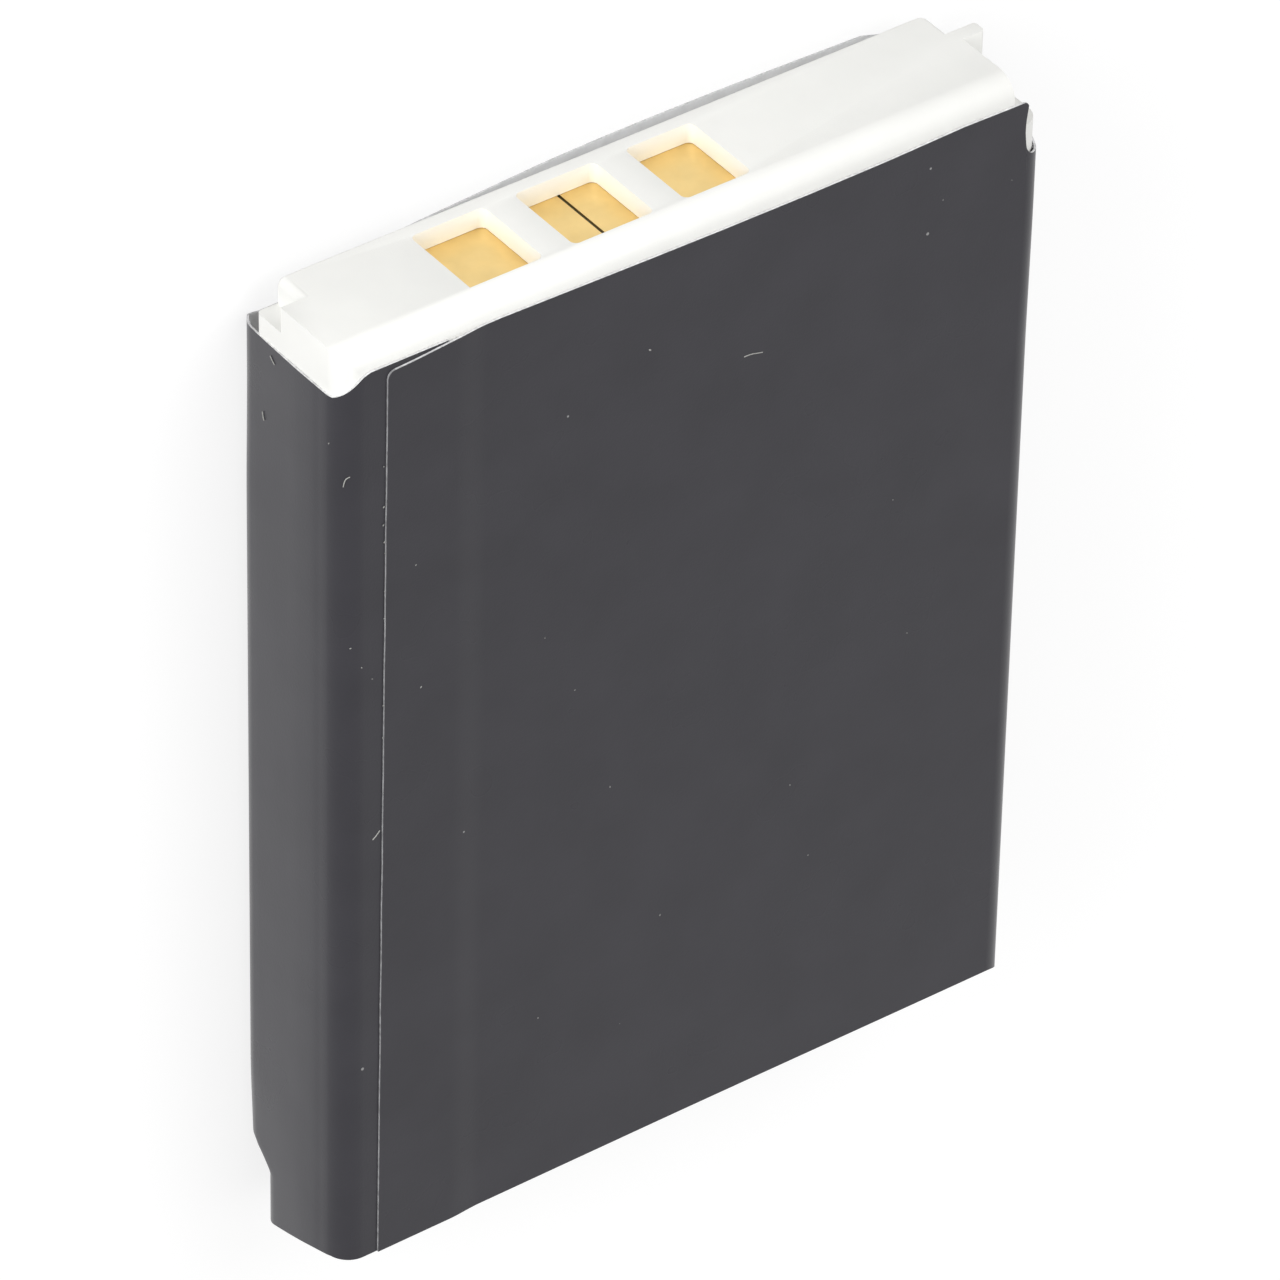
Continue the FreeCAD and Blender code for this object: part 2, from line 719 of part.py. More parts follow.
def build_tabs():
    thick = "sizes.tab_thick"
    foot = "sizes.tab_foot"
    # Positive: welded on the lid, up to the board and soldered under it.
    left = f"({POSITIVE_X} - {foot} / 2)"
    right = f"({POSITIVE_X} + {foot} / 2)"
    positive = strip(
        "positive_tab",
        (
            (left, CELL_TOP),
            (right, CELL_TOP),
            (right, f"{BOARD_LOW} - {thick}"),
            (f"{right} + {foot} / 2", f"{BOARD_LOW} - {thick}"),
            (f"{right} + {foot} / 2", BOARD_LOW),
            (f"{right} - {thick}", BOARD_LOW),
            (f"{right} - {thick}", f"{CELL_TOP} + {thick}"),
            (left, f"{CELL_TOP} + {thick}"),
        ),
    )
    # Negative: from the rivet's head on to the top of the fuse.
    rivet_top = f"({CELL_TOP} + sizes.rivet_height)"
    fuse_right = "(-sizes.fuse_offset)"
    fuse_left = f"({fuse_right} - sizes.fuse_length)"
    negative = strip(
        "negative_tab",
        rectangle(
            f"{fuse_right} - sizes.fuse_length / 2",
            "sizes.rivet_radius",
            rivet_top,
            f"{rivet_top} + {thick}",
        ),
    )
    fuse = block(
        "thermal_fuse",
        (fuse_left, "sizes.fuse_length"),
        (SHEET_TOP, f"{rivet_top} - {SHEET_TOP}"),
        (f"{BOARD_MIDDLE} - sizes.tab_width / 2", "sizes.tab_width"),
    )
    # From the fuse's far end up to the board.
    turn = f"({fuse_left} - {thick})"
    lead = strip(
        "fuse_lead",
        (
            (turn, SHEET_TOP),
            (fuse_left, SHEET_TOP),
            (fuse_left, f"{BOARD_LOW} - {thick}"),
            (f"{fuse_left} + {foot} / 2", f"{BOARD_LOW} - {thick}"),
            (f"{fuse_left} + {foot} / 2", BOARD_LOW),
            (turn, BOARD_LOW),
        ),
    )
    return [positive, negative, fuse, lead]


# Moulded bottom cap with its slanted end face, and the tape that holds it on the cell.
def build_foot():
    tape = block(
        "bottom_tape",
        (f"-({IN_HALF} - sizes.tape_inset)", f"2 * ({IN_HALF} - sizes.tape_inset)"),
        (f"{CELL_LOW} - sizes.tape_thick", "sizes.tape_thick"),
        (f"{CAP_BACK} + sizes.tape_inset", f"{IN_FRONT} - {CAP_BACK} - 2 * sizes.tape_inset"),
    )
    body = new_body("bottom_cap")
    low = f"(-{TOP})"
    high = f"({CELL_LOW} - sizes.tape_thick)"
    sketch = section(body, "foot_outline", high, rectangle(f"-{IN_HALF}", IN_HALF, CAP_BACK, IN_FRONT))
    pad(body, "foot_block", sketch, f"{high} - {low}")
    round_edges(body, "foot_corners", IN_ROUND, lambda edge: runs_along(edge, 1))
    slant_front = f"({FRONT} - sizes.foot_flat)"
    slant_back = "(sizes.back_step + sizes.film_thick + 2 * sizes.film_fit)"
    label_low = f"({LABEL_LOW} + sizes.foot_inset)"
    foot_low = f"({low} + sizes.foot_inset)"
    corners = (
        (label_low, f"{FRONT} + {OUTSIDE}"),
        (label_low, slant_front),
        (foot_low, slant_back),
        (f"{foot_low} - {OUTSIDE}", slant_back),
        (f"{foot_low} - {OUTSIDE}", f"{FRONT} + {OUTSIDE}"),
    )
    sketch = side_view(body, "slant_outline", f"-{HALF} - {OUTSIDE}", corners)
    pocket(body, "slant", sketch, f"2 * ({HALF} + {OUTSIDE})")
    return [tape, body]


def build_all():
    parts = [build_label(), build_top_cap()]
    parts += build_contacts()
    parts += [build_board()]
    parts += build_board_parts()
    parts += [build_cell()]
    parts += build_terminal()
    parts += [build_lid_sheet()]
    parts += build_tabs()
    parts += build_foot()
    doc.recompute()
    return parts


def check_and_write(parts):
    for item in doc.Objects:
        if "Invalid" in item.State or "Error" in item.State:
            raise ValueError(f"{item.Label} failed to build")
    os.makedirs("parts", exist_ok=True)
    for part in parts:
        shape = part.Shape
        if shape.isNull() or not shape.isValid() or not shape.Solids:
            raise ValueError(f"{part.Label} has no sound solid")
        shape.exportStep(f"parts/{part.Label}.step")
        box = shape.BoundBox
        print(
            f"{part.Label}: {len(shape.Solids)} solid, {shape.Volume:.2f} mm3,"
            f" x {box.XMin:.2f} to {box.XMax:.2f},"
            f" y {box.YMin:.2f} to {box.YMax:.2f}, z {box.ZMin:.2f} to {box.ZMax:.2f}"
        )


check_and_write(build_all())
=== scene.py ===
"""Mobile phone battery: the wrapped film, moulded caps, contacts, lint and the studio round them.

Lengths in the formulas are millimetres in the pack's own frame; meshes are written in metres.
"""
import math

import bmesh
import bpy
from bpy.props import FloatProperty, FloatVectorProperty, PointerProperty
from mathutils import Matrix, Vector, noise


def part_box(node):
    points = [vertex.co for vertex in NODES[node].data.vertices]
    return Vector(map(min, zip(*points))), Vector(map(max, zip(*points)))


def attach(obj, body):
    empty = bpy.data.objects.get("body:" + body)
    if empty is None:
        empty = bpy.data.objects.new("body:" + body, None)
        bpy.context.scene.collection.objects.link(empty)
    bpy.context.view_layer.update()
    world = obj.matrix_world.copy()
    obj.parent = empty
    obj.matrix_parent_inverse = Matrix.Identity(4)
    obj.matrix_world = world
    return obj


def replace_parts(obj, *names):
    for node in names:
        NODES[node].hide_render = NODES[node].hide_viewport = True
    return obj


bl_info = {
    "name": "Phone battery",
    "version": (1, 0, 0),
    "blender": (4, 5, 0),
    "location": "3D View > Sidebar > Battery",
    "description": "Dresses the frame of a removable phone battery with its film, caps and finishes",
    "category": "Object",
}

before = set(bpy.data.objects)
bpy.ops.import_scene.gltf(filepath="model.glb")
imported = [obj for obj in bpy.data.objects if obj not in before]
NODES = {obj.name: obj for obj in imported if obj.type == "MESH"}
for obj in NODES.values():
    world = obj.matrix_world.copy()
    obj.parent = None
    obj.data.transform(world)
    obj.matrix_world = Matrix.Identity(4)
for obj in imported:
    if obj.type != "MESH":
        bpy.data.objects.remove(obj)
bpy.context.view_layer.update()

MM = 0.001
QUARTER = math.pi / 2.0
WHITE = (1.0, 1.0, 1.0, 1.0)

FILM_LOW, FILM_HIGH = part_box("label_wrap")
HALF = FILM_HIGH.x / MM
WIDTH = 2.0 * HALF
FOOT_END = FILM_LOW.y / MM
# Thickness of the pack at its front panel.
FRONT = 8.7
# The foot: how far its slant reaches past the front panel's lower edge, and its flat in front.
FOOT_DROP = 1.9
FOOT_FLAT = 1.0
# Heights are counted along the pack from the lower edge of its front panel, which lies here.
EDGE = FOOT_END + FOOT_DROP
# The back steps forward by this much behind the foot, between these heights.
BACK_STEP = 1.52
DRAPE_START = 1.3
DRAPE_END = 3.1


def millimetres(name, description, default):
    """A length that a user would change, kept in metres."""
    return FloatProperty(
        name=name, description=description, default=default * MM, min=0.0, unit="LENGTH", precision=5
    )


def colour(name, description, default):
    """A colour that a user would change."""
    return FloatVectorProperty(
        name=name, description=description, default=default, subtype="COLOR", size=3, min=0.0, max=1.0
    )


class FilmSettings(bpy.types.PropertyGroup):
    """Sizes and colours of the printed film."""

    thickness: millimetres("Thickness", "Thickness of the film", 0.11)
    fold_radius: millimetres("Fold radius", "Outer radius of the four folds", 1.3)
    seam_low: millimetres("Seam at the foot", "Seam's distance from the left side at the foot", 2.15)
    seam_high: millimetres("Seam at the top", "Seam's distance from the left side at the top", 2.6)
    under_reach: millimetres("Under layer", "Reach of the layer that lies under the lap", 6.4)
    step_width: millimetres("Step", "Width over which the lap comes down off the under layer", 1.9)
    side_bulge: FloatProperty(
        name="Side bulge",
        description="Angle by which the left side turns at each of its folds",
        default=math.radians(1.6),
        min=math.radians(0.2),
        max=math.radians(10.0),
        subtype="ANGLE",
    )
    waviness: millimetres("Waviness", "How far the film is drawn in at its slack places", 0.02)
    printed: colour("Printed side", "Colour of the printed side", (0.0435, 0.0423, 0.0496))
    inner: colour("Inner side", "Colour of the glued side", (0.93, 0.93, 0.94))
    cut: colour("Cut edge", "Colour of the cut edges", (0.85, 0.85, 0.86))
    # The cut edge along the seam is a darker grey than the other cut edges.
    seam_cut: colour("Seam cut edge", "Colour of the cut edge at the seam", (0.42, 0.42, 0.43))
    dust: colour("Dust", "Colour of the fine dust on the printed side", (0.30, 0.30, 0.30))


class CapSettings(bpy.types.PropertyGroup):
    """Sizes and colours of the moulded caps."""

    edge_radius: millimetres("Edge radius", "Small radius on the moulded edges", 0.07)
    plastic: colour("Plastic", "Colour of the moulded caps", (0.92, 0.92, 0.89))
    specks: colour("Specks", "Colour of the small specks in the plastic", (0.6, 0.58, 0.54))


class ContactSettings(bpy.types.PropertyGroup):
    """Colour of the contacts."""

    gold: colour("Gold", "Colour of the plated contacts", (0.85, 0.63, 0.27))


class InsideSettings(bpy.types.PropertyGroup):
    """Colours of the board, the cell and all that the caps and the film hide."""

    board: colour("Board", "Colour of the circuit board", (0.030, 0.022, 0.012))
    package: colour("Packages", "Colour of the chip and transistor packages", (0.022, 0.022, 0.024))
    ceramic: colour("Capacitors", "Colour of the ceramic capacitors", (0.33, 0.22, 0.14))
    resistor: colour("Resistors", "Colour of the resistors", (0.03, 0.03, 0.034))
    can: colour("Can", "Colour of the cell's drawn can", (0.80, 0.80, 0.81))
    nickel: colour("Strips", "Colour of the nickel strips", (0.66, 0.63, 0.58))
    gasket: colour("Gasket", "Colour of the terminal's gasket", (0.72, 0.72, 0.68))
    paper: colour("Paper", "Colour of the insulating paper", (0.66, 0.66, 0.62))
    tape: colour("Tape", "Colour of the double-sided tape", (0.78, 0.78, 0.74))


class LintSettings(bpy.types.PropertyGroup):
    """Dust and fibres that lie on the film."""

    fibre_radius: millimetres("Fibre radius", "Radius of a lint fibre", 0.03)
    tint: colour("Lint", "Colour of the lint", (0.42, 0.42, 0.40))


class StageSettings(bpy.types.PropertyGroup):
    """Lamps and floor of the studio."""

    key_power: FloatProperty(
        name="Key lamp", description="Power of the key lamp", default=2.6, min=0.0, unit="POWER"
    )
    fill_power: FloatProperty(
        name="Fill lamp", description="Power of the fill lamp", default=2.2, min=0.0, unit="POWER"
    )
    room_light: FloatProperty(
        name="Room light", description="Strength of the room's even light", default=0.5, min=0.0
    )
    floor_glow: FloatProperty(
        name="Floor glow", description="Strength of the glow that the floor shows", default=0.75, min=0.0
    )
    floor: colour("Floor", "Colour of the floor", (0.3, 0.3, 0.3))


class BatterySettings(bpy.types.PropertyGroup):
    """All settings of the battery."""

    film: PointerProperty(type=FilmSettings)
    cap: PointerProperty(type=CapSettings)
    contact: PointerProperty(type=ContactSettings)
    inside: PointerProperty(type=InsideSettings)
    lint: PointerProperty(type=LintSettings)
    stage: PointerProperty(type=StageSettings)


# Shared shader effects.
def new_group(name, inputs, output):
    """Empty shader node group with number inputs and one number output."""
    group = bpy.data.node_groups.new(name, "ShaderNodeTree")
    for socket_name, default in inputs:
        socket = group.interface.new_socket(socket_name, in_out="INPUT", socket_type="NodeSocketFloat")
        socket.default_value = default
    group.interface.new_socket(output, in_out="OUTPUT", socket_type="NodeSocketFloat")
    return group, group.nodes.new("NodeGroupInput"), group.nodes.new("NodeGroupOutput")


def math_node(tree, operation):
    """A Math node that does one operation."""
    node = tree.nodes.new("ShaderNodeMath")
    node.operation = operation
    return node


def spread_noise(group, texture, middle):
    """Spread the middle of a noise's range over the group's Low to High."""
    source, result = group.nodes["Group Input"], group.nodes["Group Output"]
    ramp = group.nodes.new("ShaderNodeMapRange")
    ramp.inputs["From Min"].default_value, ramp.inputs["From Max"].default_value = middle
    group.links.new(texture.outputs["Fac"], ramp.inputs["Value"])
    group.links.new(source.outputs["Low"], ramp.inputs["To Min"])
    group.links.new(source.outputs["High"], ramp.inputs["To Max"])
    group.links.new(ramp.outputs["Result"], result.inputs["Value"])


def grain_group():
    """Uneven tone between two values: broad cloud and fine grain together."""
    group = bpy.data.node_groups.get("surface_grain")
    if group:
        return group
    inputs = (("Scale", 1000.0), ("Detail", 3.0), ("Low", 0.0), ("High", 1.0))
    group, source, _ = new_group("surface_grain", inputs, "Value")
    place = group.nodes.new("ShaderNodeTexCoord")
    cloud = group.nodes.new("ShaderNodeTexNoise")
    link = group.links.new
    link(place.outputs["Object"], cloud.inputs["Vector"])
    link(source.outputs["Scale"], cloud.inputs["Scale"])
    link(source.outputs["Detail"], cloud.inputs["Detail"])
    spread_noise(group, cloud, (0.3, 0.7))
    return group


def speck_group():
    """Scattered small specks: one in some cells of a random pattern."""
    group = bpy.data.node_groups.get("scattered_specks")
    if group:
        return group
    inputs = (("Scale", 600.0), ("Size", 0.06), ("Share", 0.2))
    group, source, result = new_group("scattered_specks", inputs, "Mask")
    place = group.nodes.new("ShaderNodeTexCoord")
    cells = group.nodes.new("ShaderNodeTexVoronoi")
    apart = group.nodes.new("ShaderNodeSeparateColor")
    near = math_node(group, "LESS_THAN")
    some = math_node(group, "LESS_THAN")
    both = math_node(group, "MULTIPLY")
    link = group.links.new
    link(place.outputs["Object"], cells.inputs["Vector"])
    link(source.outputs["Scale"], cells.inputs["Scale"])
    link(cells.outputs["Distance"], near.inputs[0])
    link(source.outputs["Size"], near.inputs[1])
    link(cells.outputs["Color"], apart.inputs["Color"])
    link(apart.outputs["Red"], some.inputs[0])
    link(source.outputs["Share"], some.inputs[1])
    link(near.outputs["Value"], both.inputs[0])
    link(some.outputs["Value"], both.inputs[1])
    link(both.outputs["Value"], result.inputs["Mask"])
    return group


def scuff_group():
    """Fine parallel scuffs, from noise drawn out along one axis."""
    group = bpy.data.node_groups.get("drawn_scuffs")
    if group:
        return group
    inputs = (("Along X", 200.0), ("Along Y", 4000.0), ("Along Z", 4000.0), ("Low", 0.0), ("High", 1.0))
    group, source, _ = new_group("drawn_scuffs", inputs, "Value")
    place = group.nodes.new("ShaderNodeTexCoord")
    sizes = group.nodes.new("ShaderNodeCombineXYZ")
    stretched = group.nodes.new("ShaderNodeVectorMath")
    stretched.operation = "MULTIPLY"
    lines = group.nodes.new("ShaderNodeTexNoise")
    lines.inputs["Scale"].default_value = 1.0
    link = group.links.new
    for axis in "XYZ":
        link(source.outputs[f"Along {axis}"], sizes.inputs[axis])
    link(place.outputs["Object"], stretched.inputs[0])
    link(sizes.outputs["Vector"], stretched.inputs[1])
    link(stretched.outputs["Vector"], lines.inputs["Vector"])
    spread_noise(group, lines, (0.35, 0.65))
    return group


# Section of the slack sides: distance in front of the back face, and height as a share of the most.
SIDE_SECTION = ((0.0, 0.56), (2.2, 0.84), (4.0, 0.98), (5.3, 1.0), (7.0, 0.66), (8.0, 0.2), (8.7, 0.0))


def section_group():
    """Height of the film's slack sides, by the distance in front of the back face."""
    group = bpy.data.node_groups.get("side_section")
    if group:
        return group
    group, source, result = new_group("side_section", (("Thickness", FRONT * MM),), "Height")
    place = group.nodes.new("ShaderNodeTexCoord")
    apart = group.nodes.new("ShaderNodeSeparateXYZ")
    share = math_node(group, "DIVIDE")
    share.use_clamp = True
    section = group.nodes.new("ShaderNodeFloatCurve")
    curve = section.mapping.curves[0]
    curve.points[0].location = (0.0, SIDE_SECTION[0][1])
    curve.points[1].location = (1.0, SIDE_SECTION[-1][1])
    for z, height in SIDE_SECTION[1:-1]:
        curve.points.new(z / FRONT, height)
    section.mapping.update()
    link = group.links.new
    link(place.outputs["Object"], apart.inputs["Vector"])
    link(apart.outputs["Z"], share.inputs[0])
    link(source.outputs["Thickness"], share.inputs[1])
    link(share.outputs["Value"], section.inputs["Value"])
    link(section.outputs["Value"], result.inputs["Height"])
    return group


class Finish:
    """One material with its Principled shader, to which effects are added."""

    def __init__(self, name, tint, roughness, metallic=0.0):
        self.material = bpy.data.materials.new(name)
        self.material.use_nodes = True
        self.tree = self.material.node_tree
        self.shader = self.tree.nodes["Principled BSDF"]
        self.shader.inputs["Base Color"].default_value = (*tint, 1.0)
        self.shader.inputs["Roughness"].default_value = roughness
        self.shader.inputs["Metallic"].default_value = metallic
        self.tint = tuple(tint)

    def effect(self, group, **values):
        """Place a shared effect and set its inputs."""
        node = self.tree.nodes.new("ShaderNodeGroup")
        node.node_tree = group
        for key, number in values.items():
            node.inputs[key.replace("_", " ")].default_value = number
        return node.outputs[0]

    def blend(self, mask, other):
        """Mix the present base colour towards another colour by a mask."""
        mixed = self.tree.nodes.new("ShaderNodeMix")
        mixed.data_type = "RGBA"
        socket = self.shader.inputs["Base Color"]
        if socket.is_linked:
            self.tree.links.new(socket.links[0].from_socket, mixed.inputs["A"])
        else:
            mixed.inputs["A"].default_value = socket.default_value
        mixed.inputs["B"].default_value = (*other, 1.0)
        self.tree.links.new(mask, mixed.inputs["Factor"])
        self.tree.links.new(mixed.outputs["Result"], socket)

    def shade(self, scale, share):
        """Uneven tone: parts of the surface are darker by this share."""
        darker = tuple(channel * (1.0 - share) for channel in self.tint)
        self.blend(self.effect(grain_group(), Scale=scale), darker)

    def rough(self, low, high, scale):
        """Uneven gloss: roughness that wanders between two values."""
        value = self.effect(grain_group(), Scale=scale, Low=low, High=high)
        self.tree.links.new(value, self.shader.inputs["Roughness"])

    def bump(self, height, distance, strength=1.0):
        """Add a relief, by its height and the distance in millimetres that 1 stands for."""
        node = self.tree.nodes.new("ShaderNodeBump")
        node.inputs["Distance"].default_value = distance * MM
        node.inputs["Strength"].default_value = strength
        self.tree.links.new(height, node.inputs["Height"])
        if self.shader.inputs["Normal"].is_linked:
            before = self.shader.inputs["Normal"].links[0].from_socket
            self.tree.links.new(before, node.inputs["Normal"])
        self.tree.links.new(node.outputs["Normal"], self.shader.inputs["Normal"])

    def grain(self, scale, distance, strength, detail=2.0):
        """Add a fine relief all over."""
        self.bump(self.effect(grain_group(), Scale=scale, Detail=detail), distance, strength)


# Pieces.
def ease(value, start, end):
    """0 before start, 1 after end and a smooth run between; end may lie before start."""
    share = min(1.0, max(0.0, (value - start) / (end - start)))
    return share * share * (3.0 - 2.0 * share)


def mix(first, second, share):
    """Value at a share of the way from the first to the second."""
    return first + (second - first) * share


def along(points, value):
    """Height of a broken line through (place, height) pairs."""
    if value <= points[0][0]:
        return points[0][1]
    for (left, low), (right, high) in zip(points, points[1:]):
        if value <= right:
            return mix(low, high, (value - left) / (right - left))
    return points[-1][1]


def corner_drop(radius, beyond):
    """Fall of an edge that turns down in a rounded corner, by the distance past the corner's start."""
    beyond = max(0.0, beyond)
    return radius - math.sqrt(max(0.0, radius * radius - beyond * beyond))


def finish_piece(name, bm, materials):
    """Write a piece in metres and let it ride on the pack."""
    bmesh.ops.scale(bm, vec=(MM, MM, MM), verts=bm.verts)
    mesh = bpy.data.meshes.new(name)
    bm.to_mesh(mesh)
    bm.free()
    for material in materials:
        mesh.materials.append(material)
    piece = bpy.data.objects.new(name, mesh)
    bpy.context.scene.collection.objects.link(piece)
    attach(piece, "root")
    return piece


def dress(node_names, finish):
    """Give CAD nodes that keep their own shape a finish."""
    for name in node_names:
        NODES[name].data.materials.clear()
        NODES[name].data.materials.append(finish.material)


# The flat blank from its under layer round the pack to its seam: panel, columns of its mesh.
PANELS = (
    ("under", 14),
    ("front_left_fold", 14),
    ("left", 12),
    ("back_left_fold", 12),
    ("back", 34),
    ("back_right_fold", 12),
    ("right", 14),
    ("front_right_fold", 30),
    ("free_edge", 10),
    ("front", 46),
    ("step", 12),
    ("lap", 14),
    ("seam", 12),
)
FILM_ROWS = 96
# Rows of the mesh crowd towards both ends, and a little more towards the foot.
ROW_CROWDING = 0.11
ROW_SHIFT = 0.02
# The sheet takes three material slots: printed side, glued side, cut edge. The seam has its own three.
SEAM_SLOT = 3
# Widths of the free edge beside the notch and of the strip along the seam.
FREE_EDGE = 0.5
SEAM_STRIP = 0.42
# How far the seam wanders, and how fast along the pack.
SEAM_WANDER = 0.02
SEAM_WAVE = 0.35
# The front right fold is creased harder towards the top: by how much, and between which heights.
CREASE = 0.15
CREASE_START, CREASE_END = 38.0, 48.0

# Heights of the sheet's upper edge at its left side, its right side and its front.
LEFT_TOP = 52.5
RIGHT_TOP = 52.3
FRONT_TOP = 53.7
# The under layer shows above the lap, and its corner is round.
UNDER_RISE = 0.1
UNDER_CORNER = 0.35
# The lap's upper edge falls towards the seam: how far, from how far past the under layer's reach,
# and to what distance from the left side.
LAP_DROP = 0.25
LAP_DROP_START = 0.8
LAP_DROP_END = 2.0
# How far the front panel's upper edge wanders from FRONT_TOP, by the distance from the left side.
FRONT_WANDER = (
    (7.0, 0.1),
    (9.0, 0.13),
    (13.0, 0.05),
    (18.0, -0.04),
    (22.0, -0.09),
    (27.0, -0.11),
    (31.5, -0.07),
    (36.0, 0.06),
    (39.0, 0.0),
)
WANDER_START, WANDER_END = 4.0, 8.0
# Upper edge of the left front fold, by the distance from the left side.
LEFT_FOLD_EDGE = ((0.12, LEFT_TOP), (0.3, 52.7), (0.9, 53.3), (1.15, 53.55), (1.3, 53.68))
# Upper edge of the back panel and its folds, by the distance from the left side.
BACK_EDGE = (
    (0.0, LEFT_TOP),
    (0.4, 52.6),
    (0.8, 52.35),
    (1.3, 52.2),
    (2.4, 52.2),
    (6.5, 53.25),
    (10.5, 53.64),
    (14.0, 53.84),
    (17.5, 54.05),
    (21.0, 54.14),
    (24.5, 54.15),
    (28.0, 54.12),
    (32.7, 54.0),
    (36.3, 53.9),
    (38.6, 53.2),
    (39.7, 52.5),
    (41.0, RIGHT_TOP),
)
# Upper edge of the right side panel, by the depth behind the front face.
CLIMB = ((1.3, 50.7), (1.6, 50.72), (2.4, 50.9), (3.8, RIGHT_TOP))
# Upper edge of the film at the front right fold, by the angle round the fold in degrees.
NOTCH = (
    (0.0, 50.65),
    (20.0, 50.42),
    (45.0, 50.4),
    (70.0, 50.5),
    (81.0, 50.68),
    (84.0, 50.82),
    (86.5, 50.95),
    (88.0, 51.25),
    (88.9, 51.8),
    (89.5, 52.5),
    (89.9, 53.1),
    (90.0, 53.5),
)
# Upper edge of the free edge beside the notch, by the distance from the fold.
FREE_EDGE_TOP = ((0.0, 53.45), (0.08, 53.6), (0.22, FRONT_TOP))
# How far that free edge is drawn in, by the height, over a strip of the front panel.
NOTCH_PULL = ((50.4, 0.0), (51.0, 0.1), (52.2, 0.18), (53.5, 0.0))
PULL_START, PULL_END = 38.9, 39.7
PULL_DEPTH = 0.5

# The slant of the foot ends short of the back face.
SLANT_END = 0.15
# The lower edge sags towards the right and falls off at the right front fold, in front only.
SAG = 0.12
SAG_START, SAG_END = 18.0, 42.0
FALL_START = 39.7
FALL_CURVE = 0.46
FALL_MOST = 0.55
FALL_DEPTHS = (3.4, 0.6)

# Slack of the sides: a slow wave and a quicker ripple along the pack, by their pace on each axis.
SLACK = 0.75
WAVE = 0.5
WAVE_PACE = (0.11, 0.075, 0.4)
RIPPLE = 0.25
RIPPLE_PACE = (0.03, 0.45, 0.03)
RIPPLE_START = Vector((5.0, 0.0, 0.0))
# The folds behind are drawn in at the top and more at the foot: how far and between which heights.
DRAWN_TOP = 0.072
DRAWN_TOP_HEIGHTS = (42.0, 50.0)
DRAWN_FOOT = 0.126
DRAWN_FOOT_HEIGHTS = (8.0, 2.0)
# The same by the depth behind the front face and by the distance from the pack's side.
DRAWN_DEPTHS = (3.0, 8.0)
DRAWN_INSETS = (2.2, 0.8)


